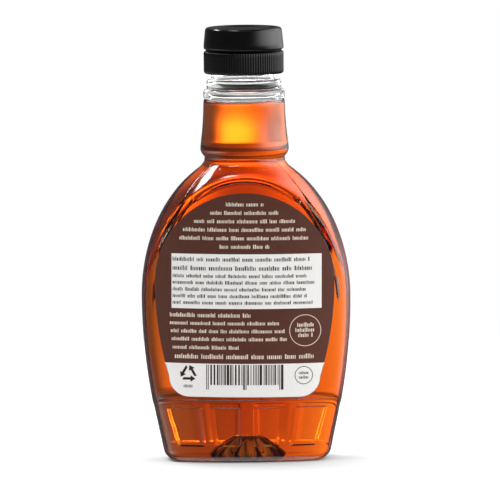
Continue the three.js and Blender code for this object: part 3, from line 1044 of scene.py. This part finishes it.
@dataclass
class Label:
    """A film label on a wide face, with printed fields and rows of plain dashes, in millimetres.

    Places on the label are given across from its middle and up from the floor.
    """

    face: Face
    node: str
    seed: int
    scale: float = 1.0
    foot: float = 28.3
    layout: Layout = Layout()
    half_width: float = 38.3
    centre: float = 77.2
    rise: float = 38.5
    bottom: float = 28.3
    side_radius: float = 136.0
    corner: float = 8.5
    corner_steps: int = 8
    side_steps: int = 16
    top_steps: int = 32
    panel_half_depth: float = 22.0
    front_radius: float = 90.0
    tilt: float = 0.57
    middle: float = -0.5
    film: tuple[float, float] = (0.02, 0.2)
    field_ink: tuple[float, float] = (0.205, 0.225)
    dash_ink: tuple[float, float] = (0.23, 0.25)
    cut_every: float = 2.2
    usual_height: float = 1.2
    letter: float = 0.3
    letter_gap: float = 0.26
    wide_letter: float = 1.6
    tall_letter: float = 1.35
    word_letters: tuple[int, int] = (5, 15)
    word_gap: float = 0.9

    def place(self, across: float, up: float, lift: float) -> Vector:
        """Turn a place on the label to metres on the bottle's face.

        Args:
            across: millimetres from the label's middle.
            up: millimetres from the floor.
            lift: millimetres above the wall.

        Returns:
            The place in the shared frame.
        """
        turn = math.radians(self.tilt)
        level = up - self.centre
        x = self.scale * (across * math.cos(turn) + level * math.sin(turn) + self.middle)
        z = self.centre + level * math.cos(turn) - across * math.sin(turn)
        z = self.foot + self.scale * (z - self.bottom)
        depth = self.panel_half_depth + lift - x ** 2 / (2 * self.front_radius)
        side = self.face.value
        return Vector((-side * x, side * depth, z)) * MM

    def side_at(self, up: float) -> float:
        """Half width of the label below its round top."""
        return self.half_width - (self.centre - up) ** 2 / (2 * self.side_radius)

    def outline(self, margin: float = 0.0) -> Outline:
        """Outline of the label, counterclockwise from the lower left.

        Args:
            margin: how far inside the label's edge the outline runs.

        Returns:
            Points across and up.
        """
        corner_up = self.bottom + self.corner
        right = []
        for i in range(self.corner_steps + 1):
            turn = math.pi / 2 * i / self.corner_steps
            across = self.side_at(corner_up) - self.corner * (1 - math.sin(turn))
            up = corner_up - (self.corner - margin) * math.cos(turn)
            right.append((across - margin * math.sin(turn), up))
        for i in range(1, self.side_steps):
            up = corner_up + (self.centre - corner_up) * i / self.side_steps
            right.append((self.side_at(up) - margin, up))
        for i in range(self.top_steps + 1):
            turn = math.pi / 2 * i / self.top_steps
            across = (self.half_width - margin) * math.cos(turn)
            right.append((across, self.centre + (self.rise - margin) * math.sin(turn)))
        left = [(-across, up) for across, up in reversed(right[:-1])]
        return right + left

    def bent(self, name: str, outlines: list[Outline], lifts: tuple[float, float]) -> bpy.types.Object:
        """Make flat outlines into thin sheets that hug the face.

        Args:
            name: name of the new piece.
            outlines: closed outlines across and up.
            lifts: lower and upper height above the wall.

        Returns:
            The piece.
        """
        skin = bmesh.new()
        for outline in outlines:
            skin.faces.new([skin.verts.new((across, 0.0, up)) for across, up in outline])
        reach = int(self.half_width / self.cut_every)
        for i in range(-reach, reach + 1):
            geometry = skin.verts[:] + skin.edges[:] + skin.faces[:]
            place = (i * self.cut_every, 0, 0)
            bmesh.ops.bisect_plane(skin, geom=geometry, dist=1e-5, plane_co=place, plane_no=(1, 0, 0))
        raised = bmesh.ops.extrude_face_region(skin, geom=skin.faces[:], use_keep_orig=True)
        upper = {item for item in raised["geom"] if isinstance(item, bmesh.types.BMVert)}
        for vert in skin.verts:
            vert.co = self.place(vert.co.x, vert.co.z, lifts[1] if vert in upper else lifts[0])
        bmesh.ops.recalc_face_normals(skin, faces=skin.faces)
        return finished(f"{self.node}_{name}", skin, smooth=False)

    def dashes(self, up: float, start: float, end: float, height: float,
               draw: random.Random) -> list[Outline]:
        """Make one row of print: upright dashes in groups, in place of words.

        Args:
            up: height of the middle of the row.
            start: where the row begins.
            end: where it ends.
            height: height of a small dash.
            draw: seeded random source.

        Returns:
            One outline for each dash.
        """
        marks = []
        width = self.letter * height / self.usual_height
        across = start
        while across < end - width:
            for _ in range(draw.randint(*self.word_letters)):
                if across > end - width:
                    break
                low = up - height / 2
                high = low + height * draw.choice((1.0, 1.0, 1.0, self.tall_letter))
                wide = width * draw.choice((1.0, 1.0, self.wide_letter))
                marks.append(self.box(across, across + wide, low, high))
                across += wide + self.letter_gap * height / self.usual_height
            across += self.word_gap * height / self.usual_height
        return marks

    @staticmethod
    def box(left: float, right: float, low: float, high: float) -> Outline:
        """Outline of an upright rectangle."""
        return [(left, low), (right, low), (right, high), (left, high)]

    @staticmethod
    def ring(across: float, up: float, radius: float, width: float, parts: int = 40) -> list[Outline]:
        """Outlines of the short bars that make up a ring.

        Args:
            across: place of its middle across.
            up: height of its middle.
            radius: its outer radius.
            width: width of its line.
            parts: number of bars.

        Returns:
            One outline for each bar.
        """
        bars = []
        for i in range(parts):
            start, end = (2 * math.pi * (i + share) / parts for share in (0.0, 1.0))
            corners = ((start, radius), (end, radius), (end, radius - width), (start, radius - width))
            bars.append([(across + r * math.cos(turn), up + r * math.sin(turn)) for turn, r in corners])
        return bars

    @staticmethod
    def arrows(across: float, up: float, size: float) -> list[Outline]:
        """Outlines of three plain arrows chasing round a triangle.

        Args:
            across: place of their middle across.
            up: height of their middle.
            size: size of the triangle.

        Returns:
            One outline for each shaft and head.
        """
        shaft = [(-0.36, -0.36), (0.12, -0.36), (0.12, -0.22), (-0.28, -0.22)]
        head = [(0.12, -0.48), (0.4, -0.29), (0.12, -0.1)]
        parts = []
        for turn in (math.radians(120 * i) for i in range(3)):
            cos, sin = math.cos(turn), math.sin(turn)
            for part in (shaft, head):
                turned = [(x * cos - y * sin, x * sin + y * cos) for x, y in part]
                parts.append([(across + size * x, up + size * y) for x, y in turned])
        return parts

    def bars(self, draw: random.Random) -> list[Outline]:
        """Plain upright bars of mixed widths, longer at the guards.

        Args:
            draw: seeded random source.

        Returns:
            One outline for each bar.
        """
        plan = self.layout
        marks = []
        across = plan.bars_start
        while across < plan.bars_end:
            width = plan.bar_unit * draw.choice((1, 1, 2, 3))
            guard = min(abs(across - place) for place in plan.guards) < plan.guard_reach
            foot = plan.guard_foot if guard else plan.bars_foot
            marks.append(self.box(across, across + width, foot, plan.bars_top))
            across += width + plan.bar_unit * draw.choice((1, 1, 2))
        return marks

    def cream_print(self, draw: random.Random) -> list[Outline]:
        """Light rows and the ring badge on the brown film.

        Args:
            draw: seeded random source.

        Returns:
            The outlines.
        """
        plan = self.layout
        marks = []
        for row, half in enumerate(plan.arch_half_widths):
            up = plan.arch_top - plan.arch_spacing * row
            marks += self.dashes(up, -half, half, plan.arch_letter, draw)
        for row in plan.lower_rows:
            marks += self.dashes(*row, draw)
        middle = plan.badge[0]
        for up, half in plan.badge_rows:
            marks += self.dashes(up, middle - half, middle + half, plan.badge_letter, draw)
        return marks + self.ring(*plan.badge)

    def dark_print(self, draw: random.Random) -> list[Outline]:
        """Dark rows on the white panel, the bars and the two marks on the white foot.

        Args:
            draw: seeded random source.

        Returns:
            The outlines.
        """
        plan = self.layout
        marks = []
        for up, height in plan.panel_rows:
            end = plan.panel_end - plan.panel_ragged * draw.random()
            marks += self.dashes(up, plan.panel_start, end, height, draw)
        marks += self.bars(draw)
        marks += self.arrows(*plan.arrows)
        marks += self.dashes(*plan.arrows_row, draw)
        marks += self.ring(*plan.mark, plan.mark_parts)
        for row in plan.mark_rows:
            marks += self.dashes(*row, draw)
        return marks

    def build(self) -> None:
        """Build the film and its print."""
        plan = self.layout
        draw = random.Random(self.seed)
        film = self.bent("film", [self.outline()], self.film)
        install(film, PrintedFilm("brown_label_film", "552c21", "5f3323").make(), "label", self.node)
        edge = self.outline(plan.foot_margin)
        highest = plan.foot_top + plan.foot_reach
        foot = [(across, min(up, plan.foot_top)) for across, up in edge if up < highest]
        white = self.bent("white_fields", [self.box(*plan.panel), foot], self.field_ink)
        install(white, PrintedFilm("white_label_ink", "efedeb", "f6f4f2").make(), "label")
        cream = self.bent("cream_rows", self.cream_print(draw), self.field_ink)
        install(cream, PrintedFilm("cream_label_ink", "e6d3c2", "eeded0").make(), "label")
        dark = self.bent("dark_rows", self.dark_print(draw), self.dash_ink)
        install(dark, PrintedFilm("dark_label_ink", "2e1c1a", "38221f").make(), "label")


@dataclass
class Cap:
    """Two-part black cap, in millimetres: a ribbed skirt under a smooth lid with a dished top."""

    radius: float = 17.1
    bottom: float = 165.3
    split: float = 174.95
    top: float = 185.0
    pocket_radius: float = 14.3
    deck: float = 173.9
    ribs: int = 96
    rib_columns: int = 6
    rib_relief: float = 0.3
    corner: float = 1.1
    half_gap: float = 0.15
    pocket_edge: float = 0.3
    straight_start: float = 2.0
    lip: float = 0.9
    lip_height: float = 0.5
    foot_radius: float = 0.75
    rim_width: float = 2.0
    rim_radius: float = 1.35
    dish: tuple[tuple[float, float], ...] = ((2.7, 0.06), (3.3, 0.35), (4.0, 0.8), (4.9, 1.1), (6.5, 1.2))
    dish_depth: float = 1.25
    dish_flat: float = 5.0
    lid_columns: int = 160

    def turned(self, outline: Outline, columns: int) -> np.ndarray:
        """Points of a round outline on even columns."""
        angles = np.arange(columns) * 2 * math.pi / columns
        return np.array([[(r * math.cos(a), r * math.sin(a), z) for a in angles] for r, z in outline])

    def build_skirt(self) -> None:
        """Build the ribbed skirt, whose ribs run out into its rounded lower corner."""
        columns = self.ribs * self.rib_columns
        radius, pocket, edge = self.radius, self.pocket_radius, self.pocket_edge
        high = self.split - self.half_gap
        outline = [(0.0, self.deck), (pocket - edge, self.deck), (pocket, self.deck - edge),
                   (pocket, self.bottom + edge), (pocket + edge, self.bottom)]
        for turn in np.linspace(0.0, math.pi / 2, 7):
            across = radius - self.corner * (1 - math.sin(turn))
            outline.append((across, self.bottom + self.corner * (1 - math.cos(turn))))
        outline += [(radius, z) for z in np.linspace(self.bottom + self.straight_start, high - 0.6, 6)]
        outline += [(radius - 0.1, high - 0.25), (radius - 0.5, high), (0.0, high)]
        points = self.turned(outline, columns)
        turn = np.arange(columns) * 2 * math.pi / self.rib_columns
        valley = self.rib_relief * (0.5 - 0.5 * np.cos(turn)) ** 0.8
        for row, (across, z) in enumerate(outline):
            share = smooth_step(radius - self.corner, radius - 0.2, np.array(across))
            scale = 1.0 - valley * share / max(across, 1.0)
            points[row, :, 0] *= scale
            points[row, :, 1] *= scale
        finish = BlackPolypropylene(roughness=0.32).make("ribbed_black_polypropylene")
        install(spun_piece("ribbed_skirt", points), finish, "cap", "cap_base")

    def build_lid(self) -> None:
        """Build the lid: a shadow lip, a rounded foot, a slight taper and a raised rim."""
        radius, top = self.radius, self.top
        foot, rim = self.foot_radius, self.rim_radius
        low = self.split + self.half_gap
        outline = [(0.0, low), (radius - self.lip, low), (radius - self.lip, low + self.lip_height)]
        outline += [(radius - foot + foot * math.sin(turn), low + 1.35 - foot * math.cos(turn))
                    for turn in np.linspace(0.15, math.pi / 2, 6)]
        outline += [(radius - 0.1, low + 3.2), (radius - 0.3, low + 5.2), (radius - 0.55, top - 2.4)]
        outline += [(radius - self.rim_width + rim * math.cos(turn), top - rim + rim * math.sin(turn))
                    for turn in np.linspace(0.0, math.pi / 2, 8)]
        outline += [(radius - inwards, top - down) for inwards, down in self.dish]
        outline += [(self.dish_flat, top - self.dish_depth), (0.0, top - self.dish_depth)]
        finish = BlackPolypropylene(roughness=0.14).make("glossy_black_polypropylene")
        install(spun_piece("smooth_lid", self.turned(outline, self.lid_columns)), finish, "cap", "cap_lid")


@dataclass(frozen=True)
class Softbox:
    """A plain rectangular light for the matt faces, in metres, aimed at the bottle."""

    name: str
    place: tuple[float, float, float]
    width: float
    height: float
    radiance: float
    aim: tuple[float, float, float] = (0.0, 0.0, 0.09)

    def build(self) -> None:
        """Hang the light and aim it."""
        light = bpy.data.lights.new(self.name, "AREA")
        light.shape = "RECTANGLE"
        light.size = self.width
        light.size_y = self.height
        light.energy = self.radiance * math.pi * self.width * self.height
        holder = bpy.data.objects.new(self.name, light)
        holder.visible_camera = False
        holder.visible_glossy = False
        holder.visible_transmission = False
        holder.location = self.place
        holder.rotation_euler = (Vector(self.aim) - Vector(self.place)).to_track_quat("-Z", "Y").to_euler()
        bpy.context.scene.collection.objects.link(holder)


@dataclass(frozen=True)
class Fade:
    """Smooth change of brightness along one axis of the direction looked in."""

    axis: str
    start: float
    end: float
    before: float
    after: float

    def add(self, tree: bpy.types.NodeTree, axes: bpy.types.Node) -> bpy.types.NodeSocket:
        """Add the change to a world.

        Args:
            tree: the world's node tree.
            axes: node that splits the direction looked in.

        Returns:
            Output with the brightness.
        """
        return add_node(tree, "ShaderNodeMapRange", {
            "Value": axes.outputs[self.axis], "From Min": self.start, "From Max": self.end,
            "To Min": self.before, "To Max": self.after}, interpolation_type="SMOOTHSTEP").outputs["Result"]


@dataclass(frozen=True)
class Glow:
    """A bright patch of the surroundings, in degrees to the right of and above straight behind."""

    right: float
    above: float
    width: float
    height: float
    radiance: float
    firm: float = 1.0
    turned_away: float = 0.3

    def axes(self) -> tuple[tuple[float, float, float], ...]:
        """Direction to the middle of the patch, then its axes to the right and up, scaled to its size.

        Returns:
            The three directions.
        """
        turn, climb = math.radians(self.right), math.radians(self.above)
        wide, tall = 1 / math.sin(math.radians(self.width)), 1 / math.sin(math.radians(self.height))
        middle = (math.sin(turn) * math.cos(climb), math.cos(turn) * math.cos(climb), math.sin(climb))
        right = (math.cos(turn) * wide, -math.sin(turn) * wide, 0.0)
        up = (-math.sin(turn) * math.sin(climb) * tall, -math.cos(turn) * math.sin(climb) * tall,
              math.cos(climb) * tall)
        return middle, right, up

    def add(self, tree: bpy.types.NodeTree, direction: bpy.types.NodeSocket) -> bpy.types.NodeSocket:
        """Add the patch to a world.

        Args:
            tree: the world's node tree.
            direction: output that gives the direction looked in.

        Returns:
            Output with the patch's radiance.
        """
        products = [add_node(tree, "ShaderNodeVectorMath", {0: direction, 1: axis}, operation="DOT_PRODUCT")
                    for axis in self.axes()]
        ahead, *offsets = [product.outputs["Value"] for product in products]
        facing = add_node(tree, "ShaderNodeMapRange", {"Value": ahead, "From Max": self.turned_away},
                          interpolation_type="SMOOTHSTEP")
        squares = [work_out(tree, offset, ("MULTIPLY", offset)) for offset in offsets]
        fall = work_out(tree, squares[0], ("ADD", squares[1]), ("POWER", self.firm), ("MULTIPLY", -1.0))
        return work_out(tree, math.e, ("POWER", fall), ("MULTIPLY", facing.outputs["Result"]),
                        ("MULTIPLY", self.radiance))


@dataclass(frozen=True)
class Surroundings:
    """White to the eye, with another brightness for each way in which the bottle takes light in.

    Seen through the bottle is a backdrop, brightest on the left and dim above, with glows. Its gloss
    mirrors dim walls with bright panels, and its matt faces take an even light that comes from behind.
    """

    backdrop: tuple[Fade, ...] = (
        Fade("X", -0.65, 0.25, 1.9, 0.5),
        Fade("X", 0.3, 0.5, 1.0, 0.55),
        Fade("Z", 0.1, 0.18, 1.0, 0.4),
        Fade("Y", 0.0, 0.6, 0.6, 1.0),
    )
    floor_glow: Fade = Fade("Z", -0.75, -0.5, 1.5, 0.0)
    glows: tuple[Glow, ...] = (
        Glow(7.0, -11.0, 17.0, 4.2, 8.5, 1.3),
        Glow(0.0, -19.0, 14.0, 9.0, 1.2, 1.5),
        Glow(-38.0, -11.0, 18.0, 5.0, -1.1, 1.5),
        Glow(-28.0, -25.0, 38.0, 9.0, 1.1, 2.0),
    )
    mirrored: float = 0.1
    mirrored_floor: Fade = Fade("Z", -0.95, -0.75, 1.5, 0.0)
    panels: tuple[Glow, ...] = (
        Glow(82.0, 28.0, 50.0, 28.0, 2.4, 3.0),
        Glow(103.0, 8.0, 36.0, 8.0, 1.6, 2.0),
        Glow(68.0, -4.0, 42.0, 10.0, 1.4, 2.5),
        Glow(0.0, 42.0, 30.0, 12.0, 0.3, 2.0),
        Glow(-55.0, 44.0, 20.0, 5.0, 14.0, 4.0),
        Glow(-118.0, 70.0, 12.0, 7.0, 10.0, 2.0),
        Glow(-95.0, -24.0, 25.0, 8.0, 3.0, 1.0),
        Glow(-150.0, 70.0, 30.0, 15.0, 0.5, 1.0),
    )
    matt: Fade = Fade("Y", -1.0, 1.0, 0.3, 2.2)

    def build(self) -> None:
        """Build the world."""
        world = bpy.data.worlds.new("white_studio")
        world.use_nodes = True
        tree = world.node_tree
        tree.nodes.clear()
        direction = add_node(tree, "ShaderNodeTexCoord").outputs["Generated"]
        axes = add_node(tree, "ShaderNodeSeparateXYZ", {"Vector": direction})
        first, *others = [fade.add(tree, axes) for fade in self.backdrop]
        through = work_out(tree, first, *[("MULTIPLY", other) for other in others],
                           ("ADD", self.floor_glow.add(tree, axes)),
                           *[("ADD", glow.add(tree, direction)) for glow in self.glows])
        shine = work_out(tree, self.mirrored, ("ADD", self.mirrored_floor.add(tree, axes)),
                         *[("ADD", panel.add(tree, direction)) for panel in self.panels])
        path = add_node(tree, "ShaderNodeLightPath")
        light = add_node(tree, "ShaderNodeBackground", {"Color": WHITE, "Strength": shine})
        for ray, strength in (("Is Transmission Ray", through), ("Is Diffuse Ray", self.matt.add(tree, axes)),
                              ("Is Camera Ray", 1.0)):
            other = add_node(tree, "ShaderNodeBackground", {"Color": WHITE, "Strength": strength})
            light = add_node(tree, "ShaderNodeMixShader", {
                0: path.outputs[ray], 1: light.outputs[0], 2: other.outputs[0]})
        add_node(tree, "ShaderNodeOutputWorld", {"Surface": light.outputs[0]})
        bpy.context.scene.world = world


@dataclass
class Studio:
    """Pale floor, white surroundings, one soft light and the photograph's camera, in metres."""

    camera_distance: float = 4.2
    camera_height: float = 0.477
    aim: tuple[float, float, float] = (0.0019, 0.0, 0.0894)
    frame_width: float = 0.2139
    sensor_width: float = 36.0
    farthest: float = 50.0
    roll: float = 0.57
    floor_size: tuple[float, float] = (0.56, 0.9)
    floor_shift: float = 0.05
    surroundings: Surroundings = Surroundings()
    light: Softbox = Softbox("right_panel", (1.05, -0.15, 0.35), 1.15, 1.3, 0.9)
    bounces: int = 24
    mirror_bounces: int = 12

    def build_floor(self) -> None:
        """Lay the pale floor."""
        skin = bmesh.new()
        bmesh.ops.create_grid(skin, x_segments=1, y_segments=1, size=0.5)
        bmesh.ops.scale(skin, verts=skin.verts, vec=(*self.floor_size, 1.0))
        bmesh.ops.translate(skin, verts=skin.verts, vec=(0.0, self.floor_shift, 0.0))
        floor = finished("pale_floor", skin, smooth=False)
        floor.data.materials.append(MattPaper().make())
        floor.visible_transmission = False
        floor.visible_glossy = False

    def build_camera(self) -> None:
        """Set the camera up at the photograph's viewing angle."""
        data = bpy.data.cameras.new("photo_view")
        camera = bpy.data.objects.new("photo_view", data)
        place = Vector((self.aim[0], -self.camera_distance, self.camera_height))
        look = Vector(self.aim) - place
        data.sensor_width = self.sensor_width
        data.lens = self.sensor_width * look.length / self.frame_width
        data.clip_end = self.farthest
        camera.location = place
        camera.rotation_euler = look.to_track_quat("-Z", "Y").to_euler()
        camera.rotation_euler.rotate_axis("Z", -math.radians(self.roll))
        bpy.context.scene.collection.objects.link(camera)
        bpy.context.scene.camera = camera

    def build(self) -> None:
        """Build the whole studio."""
        self.build_floor()
        self.surroundings.build()
        self.build_camera()
        self.light.build()
        scene = bpy.context.scene
        scene.view_settings.view_transform = "Standard"
        scene.cycles.max_bounces = self.bounces
        scene.cycles.transmission_bounces = self.bounces
        scene.cycles.glossy_bounces = self.mirror_bounces


def main() -> None:
    """Build every sub-assembly in order."""
    logging.basicConfig(level=logging.INFO, format="%(message)s")
    grid = FlaskGrid(FlaskForm(), Seats())
    neck = Neck()
    Bottle(grid, neck).build()
    syrup = Syrup(grid, neck)
    syrup.build()
    syrup.build_bubbles()
    Label(Face.SHOWN, "label_back", seed=11).build()
    Label(Face.HIDDEN, "label_front", seed=12, scale=0.7, foot=31.0).build()
    cap = Cap()
    cap.build_skirt()
    cap.build_lid()
    Studio().build()


if __name__ == "__main__":
    main()
